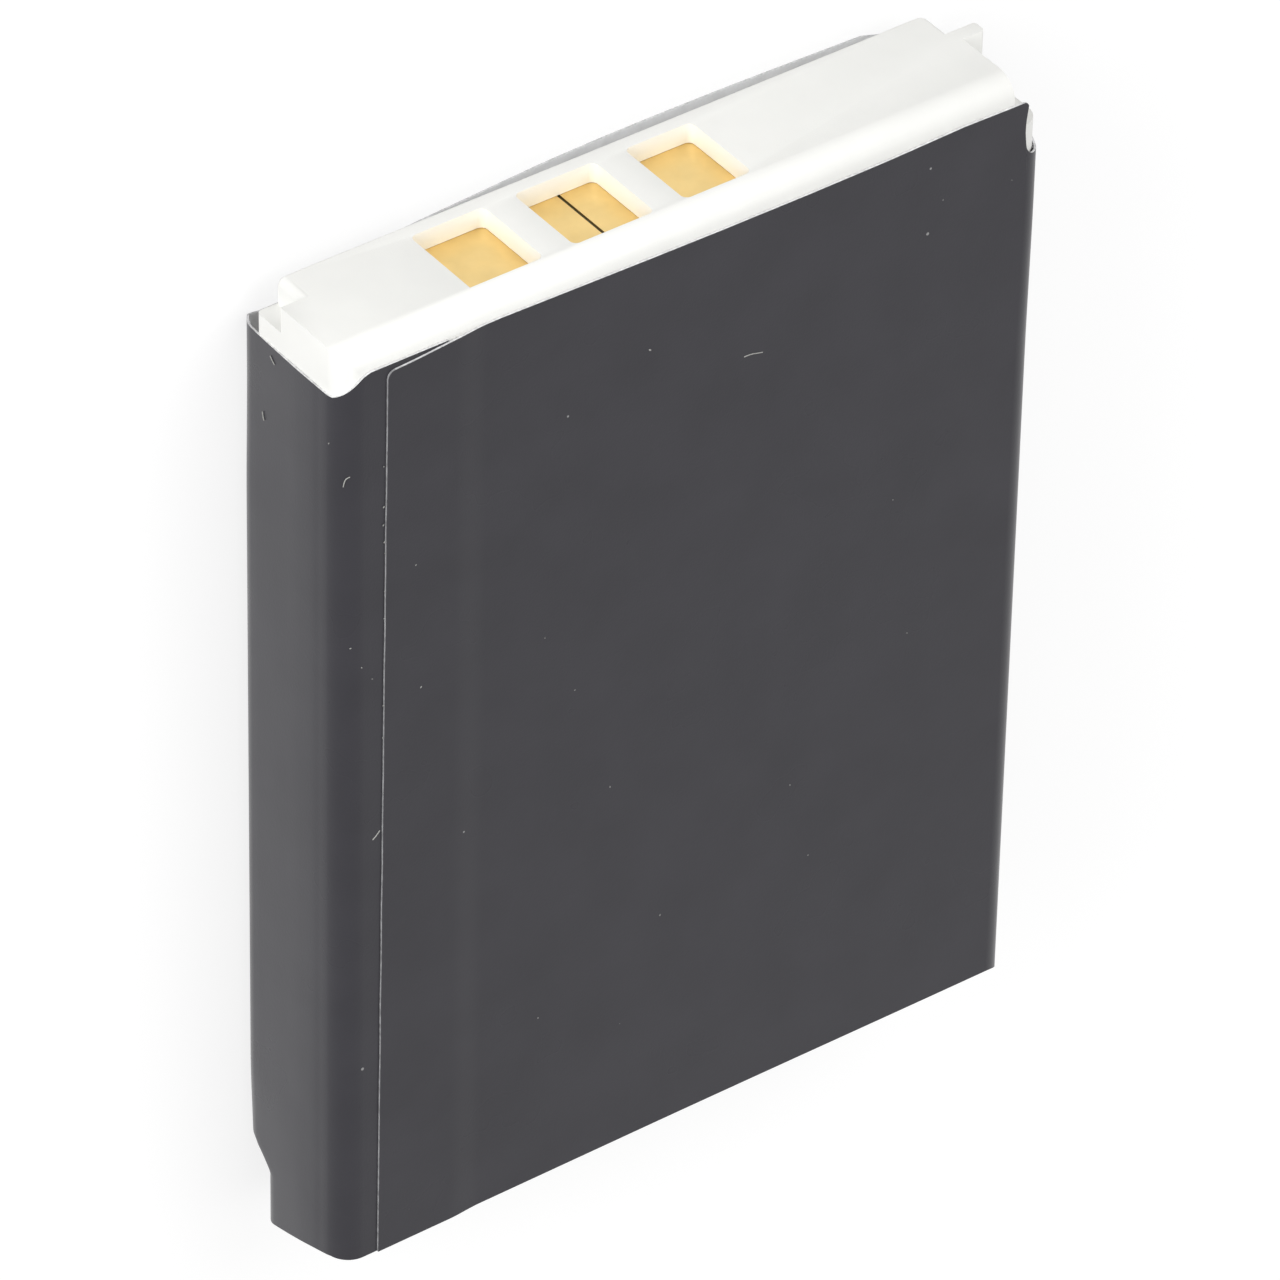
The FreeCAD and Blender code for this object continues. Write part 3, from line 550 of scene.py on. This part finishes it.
class Blank:
    """The flat sheet's fold lines and trims; gives the place of each of its points."""

    def __init__(self, film):
        self.radius = film.fold_radius / MM
        self.thickness = film.thickness / MM
        self.seam_low = film.seam_low / MM
        self.seam_high = film.seam_high / MM
        self.under = film.under_reach / MM
        self.step = film.step_width / MM
        self.waviness = film.waviness / MM
        self.tilt = film.side_bulge

    def back(self, height):
        """Z of the back face at a height: it steps forward behind the foot."""
        return BACK_STEP * ease(height, DRAPE_END, DRAPE_START)

    def seam(self, height):
        """Distance of the seam from the left side."""
        wander = SEAM_WANDER * noise.noise(Vector((height * SEAM_WAVE, 7.0, 0.0)))
        return mix(self.seam_low, self.seam_high, height / FRONT_TOP) + wander

    def across(self, panel, share, height):
        """(distance from the left side, z, outward normal) on the outer surface."""
        radius, tilt = self.radius, self.tilt
        low = self.back(height)
        # The left side panel bulges: it is an arc between folds that turn by less than a right angle.
        half_chord = (FRONT - low) / 2.0 - radius * (1.0 - math.sin(tilt))
        arc = half_chord / math.sin(tilt)
        inset = radius * math.cos(tilt) + arc * (1.0 - math.cos(tilt))
        crease = radius - CREASE * ease(height, CREASE_START, CREASE_END)
        folds = {
            "front_left_fold": (inset, FRONT - radius, radius, QUARTER, 2.0 * QUARTER - tilt),
            "back_left_fold": (inset, low + radius, radius, 2.0 * QUARTER + tilt, 3.0 * QUARTER),
            "back_right_fold": (WIDTH - radius, low + radius, radius, 3.0 * QUARTER, 4.0 * QUARTER),
            "front_right_fold": (WIDTH - crease, FRONT - crease, crease, 0.0, QUARTER),
        }
        if panel in folds:
            centre_x, centre_z, turn, start, end = folds[panel]
            angle = mix(start, end, share)
            normal = Vector((math.cos(angle), 0.0, math.sin(angle)))
            return centre_x + turn * normal.x, centre_z + turn * normal.z, normal
        if panel == "left":
            angle = tilt * (1.0 - 2.0 * share)
            z = (FRONT + low) / 2.0 + arc * math.sin(angle)
            return arc * (1.0 - math.cos(angle)), z, Vector((-math.cos(angle), 0.0, math.sin(angle)))
        if panel == "right":
            return WIDTH, mix(low + radius, FRONT - crease, share), Vector((1.0, 0.0, 0.0))
        if panel == "back":
            return mix(inset, WIDTH - radius, share), low, Vector((0.0, 0.0, -1.0))
        if panel == "under":
            return mix(self.under, inset, share), FRONT, Vector((0.0, 0.0, 1.0))
        seam = self.seam(height)
        step_end = self.under + self.step
        stations = {
            "free_edge": (WIDTH - crease, WIDTH - crease - FREE_EDGE),
            "front": (WIDTH - crease - FREE_EDGE, step_end),
            "step": (step_end, self.under),
            "lap": (self.under, seam + SEAM_STRIP),
            "seam": (seam + SEAM_STRIP, seam),
        }
        place = mix(*stations[panel], share)
        lift = self.thickness * ease(place, step_end, self.under)
        return place, FRONT + lift, Vector((0.0, 0.0, 1.0))

    def upper(self, panel, share, place, depth):
        """Height of the sheet's upper edge."""
        if panel == "under":
            return FRONT_TOP + UNDER_RISE - corner_drop(UNDER_CORNER, place - self.under + UNDER_CORNER)
        if panel == "front_left_fold":
            return along(LEFT_FOLD_EDGE, place)
        if panel == "left":
            return LEFT_TOP
        if panel in ("back_left_fold", "back_right_fold", "back"):
            return along(BACK_EDGE, place)
        if panel == "right":
            return along(CLIMB, depth)
        if panel == "front_right_fold":
            return along(NOTCH, 90.0 * share)
        if panel == "free_edge":
            return along(FREE_EDGE_TOP, FREE_EDGE * share)
        drop = LAP_DROP * ease(place, self.under + LAP_DROP_START, LAP_DROP_END)
        drop -= along(FRONT_WANDER, place) * ease(place, WANDER_START, WANDER_END)
        if panel == "seam":
            drop += corner_drop(SEAM_STRIP, SEAM_STRIP * share)
        return FRONT_TOP - drop

    def lower(self, place, depth):
        """Height of the sheet's lower edge, which follows the slanted foot."""
        span = FRONT - BACK_STEP - FOOT_FLAT - SLANT_END
        slant = FOOT_DROP * min(1.0, max(0.0, (depth - FOOT_FLAT) / span))
        beyond_fold = max(0.0, place - FALL_START)
        fall = SAG * ease(place, SAG_START, SAG_END) + min(FALL_MOST, FALL_CURVE * beyond_fold**2)
        return -slant - fall * ease(depth, *FALL_DEPTHS)

    def slack(self, point):
        """How far a slack side is drawn in at a point."""
        wave = noise.noise(Vector([value * pace for value, pace in zip(point, WAVE_PACE)]))
        ripple_place = Vector([value * pace for value, pace in zip(point, RIPPLE_PACE)])
        ripple = noise.noise(ripple_place + RIPPLE_START)
        return self.waviness * (SLACK + WAVE * wave + RIPPLE * ripple)

    def place(self, panel, share, rise):
        """Point of the wound sheet, in millimetres of the pack's frame."""
        height = FRONT_TOP * rise
        # The trims depend on the place and the place on the height, so the height is found in rounds.
        for _ in range(3):
            distance, z, normal = self.across(panel, share, height)
            depth = FRONT - z
            low = self.lower(distance, depth)
            high = self.upper(panel, share, distance, depth)
            height = mix(low, high, rise)
        point = Vector((distance - HALF, height + EDGE, z))
        if panel in ("left", "right"):
            point -= normal * self.slack(point) * math.sin(math.pi * share)
        drawn = DRAWN_TOP * ease(height, *DRAWN_TOP_HEIGHTS) + DRAWN_FOOT * ease(height, *DRAWN_FOOT_HEIGHTS)
        outer, inner = (HALF - inset for inset in DRAWN_INSETS)
        drawn *= ease(depth, *DRAWN_DEPTHS) * ease(abs(point.x), outer, inner)
        point.x -= math.copysign(drawn, point.x)
        if depth < PULL_DEPTH:
            point.x -= along(NOTCH_PULL, height) * ease(distance, PULL_START, PULL_END)
        return point


def row_place(index):
    """Share of the sheet's height at which a row lies."""
    share = index / FILM_ROWS
    crowded = share - ROW_CROWDING * math.sin(2.0 * math.pi * share)
    return crowded - ROW_SHIFT * math.sin(math.pi * share)


def column_places():
    """(panel, share of its width) of each column of the sheet."""
    places = []
    for panel, count in PANELS:
        shares = [step / count for step in range(count)]
        if panel == "front_right_fold":
            # Columns crowd towards the free edge, where the sheet's upper edge is steep.
            shares = [1.0 - (1.0 - share) ** 2 for share in shares]
        places += [(panel, share) for share in shares]
    return places + [(PANELS[-1][0], 1.0)]


def wound_film(film):
    """One flat blank, wound round the pack column by column."""
    places = column_places()
    columns = len(places) - 1
    bm = bmesh.new()
    bmesh.ops.create_grid(bm, x_segments=columns, y_segments=FILM_ROWS, size=0.5)
    for face in bm.faces:
        panel, _ = places[int((face.calc_center_median().x + 0.5) * columns)]
        face.material_index = SEAM_SLOT if panel == "seam" else 0
    blank = Blank(film)
    for vert in bm.verts:
        panel, share = places[round((vert.co.x + 0.5) * columns)]
        row = round((vert.co.y + 0.5) * FILM_ROWS)
        vert.co = blank.place(panel, share, row_place(row))
    bmesh.ops.recalc_face_normals(bm, faces=bm.faces)
    front_face = max(bm.faces, key=lambda face: face.calc_center_median().z)
    front_face.normal_update()
    if front_face.normal.z < 0.0:
        bmesh.ops.reverse_faces(bm, faces=bm.faces)
    for face in bm.faces:
        face.smooth = True
    for edge in bm.edges:
        edge.smooth = not edge.is_boundary
    return bm


# Gloss of the printed side: its index of refraction and the tone of its reflection.
PRINT_IOR = 1.68
PRINT_REFLECTION = (0.12, 0.12, 0.12, 1.0)
# Relief of the printed side where its slack sides stand highest.
SECTION_HEIGHT = 0.3


class BATTERY_OT_film(bpy.types.Operator):
    """Wind the printed film round the pack"""

    bl_idname = "battery.film"
    bl_label = "Film"

    def execute(self, context):
        film = context.scene.battery.film
        printed = Finish("printed_film", film.printed, roughness=0.4)
        printed.shader.inputs["IOR"].default_value = PRINT_IOR
        printed.shader.inputs["Specular Tint"].default_value = PRINT_REFLECTION
        printed.shade(scale=260.0, share=0.12)
        printed.blend(printed.effect(speck_group(), Scale=520.0, Size=0.045, Share=0.10), film.dust)
        printed.rough(low=0.26, high=0.34, scale=180.0)
        printed.grain(scale=9000.0, distance=0.004, strength=0.5)
        printed.grain(scale=240.0, distance=0.02, strength=0.15, detail=1.0)
        printed.bump(printed.effect(section_group()), SECTION_HEIGHT)
        inner = Finish("film_inner_side", film.inner, roughness=0.5)
        inner.shade(scale=1200.0, share=0.1)
        cut = Finish("film_cut_edge", film.cut, roughness=0.6)
        cut.shade(scale=5000.0, share=0.35)
        # The seam's cut edge: a darker grey than the other cut edges, with uneven tone.
        seam_rim = Finish("film_seam_cut_edge", film.seam_cut, roughness=0.6)
        seam_rim.shade(scale=3000.0, share=0.5)
        sheet = (printed.material, inner.material)
        materials = (*sheet, cut.material, *sheet, seam_rim.material)
        piece = finish_piece("wound_film", wound_film(film), materials)
        wall = piece.modifiers.new("film_wall", "SOLIDIFY")
        wall.thickness = film.thickness
        wall.offset = -1.0
        wall.material_offset = 1
        wall.material_offset_rim = 2
        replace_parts(piece, "label_wrap")
        return {"FINISHED"}


# A moulding's edge is eased where its faces meet at more than SHARP, and shaded sharp past CRISP.
# Before that, points within MERGE of each other and faces within FLAT are joined.
SHARP = math.radians(35.0)
CRISP = math.radians(32.0)
FLAT = math.radians(0.5)
MERGE = 0.002
EASED_SEGMENTS = 3


def moulded_copy(name, node_name, material, radius):
    """Copy of a moulded CAD node with its sharp edges eased, in the node's place."""
    bm = bmesh.new()
    bm.from_mesh(NODES[node_name].data)
    bmesh.ops.remove_doubles(bm, verts=bm.verts, dist=MERGE * MM)
    bmesh.ops.dissolve_limit(
        bm, angle_limit=FLAT, use_dissolve_boundaries=False, verts=bm.verts, edges=bm.edges
    )
    bmesh.ops.scale(bm, vec=(1.0 / MM, 1.0 / MM, 1.0 / MM), verts=bm.verts)
    inner_edges = [edge for edge in bm.edges if len(edge.link_faces) == 2]
    bmesh.ops.bevel(
        bm,
        geom=[edge for edge in inner_edges if edge.calc_face_angle(0.0) > SHARP],
        offset=radius / MM,
        offset_type="OFFSET",
        affect="EDGES",
        segments=EASED_SEGMENTS,
        profile=0.5,
        material=-1,
        clamp_overlap=True,
    )
    for face in bm.faces:
        face.smooth = True
    for edge in bm.edges:
        if len(edge.link_faces) == 2:
            edge.smooth = edge.calc_face_angle(0.0) < CRISP
    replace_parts(finish_piece(name, bm, (material,)), node_name)


class BATTERY_OT_caps(bpy.types.Operator):
    """Give the two moulded caps their eased edges and white plastic"""

    bl_idname = "battery.caps"
    bl_label = "Moulded caps"

    def execute(self, context):
        cap = context.scene.battery.cap
        plastic = Finish("moulded_plastic", cap.plastic, roughness=0.42)
        plastic.shade(scale=350.0, share=0.03)
        plastic.blend(plastic.effect(speck_group(), Scale=700.0, Size=0.05, Share=0.05), cap.specks)
        plastic.rough(low=0.36, high=0.48, scale=900.0)
        plastic.grain(scale=12000.0, distance=0.004, strength=0.6)
        for name, node_name in (("top_moulding", "top_cap"), ("foot_moulding", "bottom_cap")):
            moulded_copy(name, node_name, plastic.material, cap.edge_radius)
        return {"FINISHED"}


class BATTERY_OT_contacts(bpy.types.Operator):
    """Plate the contacts with gold"""

    bl_idname = "battery.contacts"
    bl_label = "Contacts"

    def execute(self, context):
        gold = Finish("gold_plate", context.scene.battery.contact.gold, roughness=0.34, metallic=1.0)
        gold.shade(scale=700.0, share=0.10)
        gold.rough(low=0.28, high=0.42, scale=1500.0)
        scuffs = gold.effect(scuff_group(), Along_X=3000.0, Along_Y=3000.0, Along_Z=300.0)
        gold.bump(scuffs, distance=0.002, strength=0.5)
        dress([name for name in NODES if name.startswith("contact_")], gold)
        return {"FINISHED"}


class BATTERY_OT_inside(bpy.types.Operator):
    """Finish the board, the cell and everything under the caps"""

    bl_idname = "battery.inside"
    bl_label = "Inside"

    def execute(self, context):
        inside = context.scene.battery.inside
        board = Finish("board_laminate", inside.board, roughness=0.45)
        board.shade(scale=1500.0, share=0.4)
        board.grain(scale=6000.0, distance=0.01, strength=0.5)
        dress(("protection_board",), board)
        package = Finish("chip_package", inside.package, roughness=0.6)
        package.shade(scale=4000.0, share=0.3)
        package.grain(scale=9000.0, distance=0.01, strength=0.5)
        dress(("switch_transistor", "protection_chip", "thermal_fuse"), package)
        ceramic = Finish("capacitor_ceramic", inside.ceramic, roughness=0.5)
        ceramic.shade(scale=5000.0, share=0.25)
        dress(("filter_capacitor", "bypass_capacitor"), ceramic)
        resistor = Finish("resistor_body", inside.resistor, roughness=0.35)
        resistor.shade(scale=5000.0, share=0.25)
        dress(("supply_resistor", "identity_resistor", "thermistor"), resistor)
        can = Finish("drawn_aluminium", inside.can, roughness=0.35, metallic=1.0)
        can.rough(low=0.28, high=0.42, scale=500.0)
        drawn = can.effect(scuff_group(), Along_X=3000.0, Along_Y=150.0, Along_Z=3000.0)
        can.bump(drawn, distance=0.003, strength=0.5)
        dress(("sealed_cell", "filler_plug"), can)
        nickel = Finish("nickel_strip", inside.nickel, roughness=0.3, metallic=1.0)
        nickel.rough(low=0.25, high=0.4, scale=2500.0)
        rolled = nickel.effect(scuff_group(), Along_X=400.0, Along_Y=5000.0, Along_Z=5000.0)
        nickel.bump(rolled, distance=0.003, strength=0.5)
        dress(("terminal_rivet", "positive_tab", "negative_tab", "fuse_lead"), nickel)
        gasket = Finish("gasket_plastic", inside.gasket, roughness=0.55)
        gasket.shade(scale=3000.0, share=0.1)
        dress(("terminal_gasket",), gasket)
        paper = Finish("insulating_paper", inside.paper, roughness=0.85)
        paper.shade(scale=4000.0, share=0.18)
        paper.grain(scale=7000.0, distance=0.01, strength=0.7, detail=4.0)
        dress(("lid_insulator",), paper)
        tape = Finish("double_sided_tape", inside.tape, roughness=0.5)
        tape.shade(scale=2500.0, share=0.12)
        dress(("bottom_tape",), tape)
        return {"FINISHED"}


# Lint on the front panel, its fold and the side: points in millimetres of the pack's frame.
FIBRES = (
    ((2.7, 19.0, 8.7), (3.1, 19.02, 8.72), (3.5, 18.9, 8.72), (3.8, 18.82, 8.7)),
    ((-19.85, 21.53, 8.53), (-19.97, 21.47, 8.46), (-20.07, 21.32, 8.39), (-20.11, 20.96, 8.35)),
    ((-20.47, 21.72, 2.28), (-20.475, 21.5, 2.32), (-20.47, 21.29, 2.41)),
    ((-20.47, 25.36, 2.95), (-20.475, 25.2, 3.1), (-20.47, 25.05, 3.3)),
    ((-18.25, -0.1, 8.71), (-18.45, -0.35, 8.71), (-18.66, -0.5, 8.7)),
)
# Specks of dust: place and size.
FLECKS = (
    (-2.86, 21.76, 8.7, 0.07),
    (-16.3, 15.01, 8.8, 0.045),
    (-15.97, 7.6, 8.8, 0.055),
    (-18.1, 21.51, 8.75, 0.035),
    (-18.1, 19.16, 8.75, 0.05),
    (-18.12, 18.11, 8.75, 0.045),
    (-18.06, 17.09, 8.75, 0.045),
    (-18.02, 16.42, 8.75, 0.04),
    (-18.04, 14.18, 8.75, 0.04),
    (-18.05, 12.59, 8.75, 0.04),
    (-18.08, 7.41, 8.75, 0.05),
    (-18.12, 5.5, 8.75, 0.04),
    (-19.83, 11.47, 8.54, 0.05),
    (-19.3, 10.19, 8.7, 0.04),
    (-18.7, 9.25, 8.7, 0.035),
    (-20.42, 23.2, 7.66, 0.055),
    (-20.43, -17.0, 5.22, 0.05),
    (-8.71, 7.22, 8.7, 0.03),
    (-6.89, 3.25, 8.7, 0.035),
    (-4.69, -3.71, 8.7, 0.04),
    (-1.49, -13.24, 8.7, 0.045),
    (6.3, -8.65, 8.7, 0.035),
    (13.24, -2.28, 8.7, 0.035),
    (12.03, 6.44, 8.7, 0.025),
    (-14.36, -14.26, 8.7, 0.045),
    (-8.79, -16.31, 8.7, 0.035),
    (7.57, -13.68, 8.7, 0.035),
    (14.34, 23.37, 8.7, 0.03),
    (18.5, 22.84, 8.7, 0.025),
)
# A fleck's length, width and height as shares of its size, and its turn per millimetre along Y.
FLECK_SHAPE = Matrix.Diagonal((1.4, 0.8, 0.5, 1.0))
FLECK_TURN = 3.0


def fibre_mesh(route, radius):
    """Mesh of a thin thread along a route."""
    curve = bpy.data.curves.new("fibre_route", "CURVE")
    curve.dimensions = "3D"
    spline = curve.splines.new("NURBS")
    spline.points.add(len(route) - 1)
    for point, place in zip(spline.points, route):
        point.co = (*place, 1.0)
    spline.order_u = 3
    spline.use_endpoint_u = True
    curve.bevel_depth = radius
    curve.bevel_resolution = 1
    curve.use_fill_caps = True
    holder = bpy.data.objects.new("fibre_route", curve)
    bpy.context.scene.collection.objects.link(holder)
    bpy.context.view_layer.update()
    mesh = bpy.data.meshes.new_from_object(holder)
    bpy.data.objects.remove(holder)
    return mesh


class BATTERY_OT_lint(bpy.types.Operator):
    """Scatter the dust and fibres that lie on the film"""

    bl_idname = "battery.lint"
    bl_label = "Lint"

    def execute(self, context):
        lint = context.scene.battery.lint
        fluff = Finish("lint_fluff", lint.tint, roughness=0.9)
        fluff.shade(scale=8000.0, share=0.3)
        bm = bmesh.new()
        for route in FIBRES:
            bm.from_mesh(fibre_mesh(route, lint.fibre_radius / MM))
        for *place, size in FLECKS:
            turn = Matrix.Rotation(place[1] * FLECK_TURN, 4, "Z")
            grain = Matrix.Translation(place) @ turn @ FLECK_SHAPE
            bmesh.ops.create_icosphere(bm, subdivisions=1, radius=size, matrix=grain)
        finish_piece("lint", bm, (fluff.material,))
        return {"FINISHED"}


# Studio: lamps with their places and sizes in metres, the floor, and the photograph's viewpoint.
LAMP_AIM = Vector((0.0, 0.0, 0.004))
KEY_PLACE = Vector((-0.51, 0.27, 0.16))
KEY_SIZE = (0.45, 0.3)
FILL_PLACE = Vector((0.22, 0.51, 0.5))
FILL_SIZE = (0.5, 0.5)
FLOOR_RADIUS = 3.0
# The floor lies this far under the pack, so that the two faces don't coincide.
FLOOR_GAP = 0.001
# Fitted to the pack in the photograph: place in millimetres and the picture's axes.
CAMERA_PLACE = Vector((-242.41, 317.84, 328.61))
CAMERA_RIGHT = Vector((0.808583, 0.017152, 0.588133))
CAMERA_UP = Vector((0.352082, 0.78676, -0.506997))
CAMERA_LENS = 298.41
SENSOR_WIDTH = 36.0


def seen_directly(tree):
    """1 where a camera, glossy or transmission ray looks, else 0."""
    path = tree.nodes.new("ShaderNodeLightPath")
    seen = path.outputs["Is Camera Ray"]
    for ray in ("Is Glossy Ray", "Is Transmission Ray"):
        either = math_node(tree, "MAXIMUM")
        tree.links.new(seen, either.inputs[0])
        tree.links.new(path.outputs[ray], either.inputs[1])
        seen = either.outputs["Value"]
    return seen


def lay_floor(stage):
    """Pale round floor that glows for the camera and keeps the pack's shadow."""
    bm = bmesh.new()
    bmesh.ops.create_circle(bm, cap_ends=True, segments=64, radius=FLOOR_RADIUS)
    mesh = bpy.data.meshes.new("floor")
    bm.to_mesh(mesh)
    bm.free()
    floor = bpy.data.objects.new("floor", mesh)
    floor.location.z = -FLOOR_GAP * MM
    bpy.context.scene.collection.objects.link(floor)
    paper = Finish("floor_paper", stage.floor, roughness=0.9)
    mesh.materials.append(paper.material)
    paper.shader.inputs["Emission Color"].default_value = WHITE
    glow = math_node(paper.tree, "MULTIPLY")
    glow.inputs[1].default_value = stage.floor_glow
    paper.tree.links.new(seen_directly(paper.tree), glow.inputs[0])
    paper.tree.links.new(glow.outputs["Value"], paper.shader.inputs["Emission Strength"])


def light_room(stage):
    """White world: full strength where it is seen, and an even soft light elsewhere."""
    world = bpy.data.worlds.new("studio_room")
    bpy.context.scene.world = world
    world.use_nodes = True
    tree = world.node_tree
    background = tree.nodes["Background"]
    background.inputs["Color"].default_value = WHITE
    strength = tree.nodes.new("ShaderNodeMapRange")
    strength.inputs["To Min"].default_value = stage.room_light
    strength.inputs["To Max"].default_value = 1.0
    tree.links.new(seen_directly(tree), strength.inputs["Value"])
    tree.links.new(strength.outputs["Result"], background.inputs["Strength"])


def area_lamp(name, place, size, power):
    """Soft rectangular lamp aimed at the pack."""
    data = bpy.data.lights.new(name, "AREA")
    data.shape = "RECTANGLE"
    data.size, data.size_y = size
    data.energy = power
    lamp = bpy.data.objects.new(name, data)
    lamp.location = place
    lamp.rotation_euler = (LAMP_AIM - place).to_track_quat("-Z", "Y").to_euler()
    bpy.context.scene.collection.objects.link(lamp)


def place_camera(scene):
    """Camera at the photograph's viewpoint."""
    data = bpy.data.cameras.new("photo_camera")
    data.sensor_fit = "HORIZONTAL"
    data.sensor_width = SENSOR_WIDTH
    data.lens = CAMERA_LENS
    data.clip_start = 0.01
    data.clip_end = 20.0
    camera = bpy.data.objects.new("photo_camera", data)
    back = CAMERA_RIGHT.cross(CAMERA_UP)
    turn = Matrix((CAMERA_RIGHT, CAMERA_UP, back)).transposed().to_4x4()
    camera.matrix_world = Matrix.Translation(CAMERA_PLACE * MM) @ turn
    scene.collection.objects.link(camera)
    scene.camera = camera


class BATTERY_OT_stage(bpy.types.Operator):
    """Set the floor, the soft light and the camera"""

    bl_idname = "battery.stage"
    bl_label = "Studio"

    def execute(self, context):
        stage = context.scene.battery.stage
        lay_floor(stage)
        light_room(stage)
        area_lamp("key_lamp", KEY_PLACE, KEY_SIZE, stage.key_power)
        area_lamp("fill_lamp", FILL_PLACE, FILL_SIZE, stage.fill_power)
        place_camera(context.scene)
        context.scene.view_settings.view_transform = "Standard"
        return {"FINISHED"}


class BATTERY_PT_panel(bpy.types.Panel):
    """Buttons and settings of the battery"""

    bl_idname = "BATTERY_PT_panel"
    bl_label = "Phone battery"
    bl_space_type = "VIEW_3D"
    bl_region_type = "UI"
    bl_category = "Battery"

    def draw(self, context):
        settings = context.scene.battery
        for operator, group in (
            (BATTERY_OT_film, settings.film),
            (BATTERY_OT_caps, settings.cap),
            (BATTERY_OT_contacts, settings.contact),
            (BATTERY_OT_inside, settings.inside),
            (BATTERY_OT_lint, settings.lint),
            (BATTERY_OT_stage, settings.stage),
        ):
            box = self.layout.box()
            box.operator(operator.bl_idname)
            for key in group.__annotations__:
                box.prop(group, key)


CLASSES = (
    FilmSettings,
    CapSettings,
    ContactSettings,
    InsideSettings,
    LintSettings,
    StageSettings,
    BatterySettings,
    BATTERY_OT_film,
    BATTERY_OT_caps,
    BATTERY_OT_contacts,
    BATTERY_OT_inside,
    BATTERY_OT_lint,
    BATTERY_OT_stage,
    BATTERY_PT_panel,
)


def register():
    for item in CLASSES:
        bpy.utils.register_class(item)
    bpy.types.Scene.battery = PointerProperty(type=BatterySettings)


def unregister():
    del bpy.types.Scene.battery
    for item in reversed(CLASSES):
        bpy.utils.unregister_class(item)


def main():
    register()
    bpy.ops.battery.stage()
    bpy.ops.battery.film()
    bpy.ops.battery.caps()
    bpy.ops.battery.contacts()
    bpy.ops.battery.inside()
    bpy.ops.battery.lint()


if __name__ == "__main__":
    main()
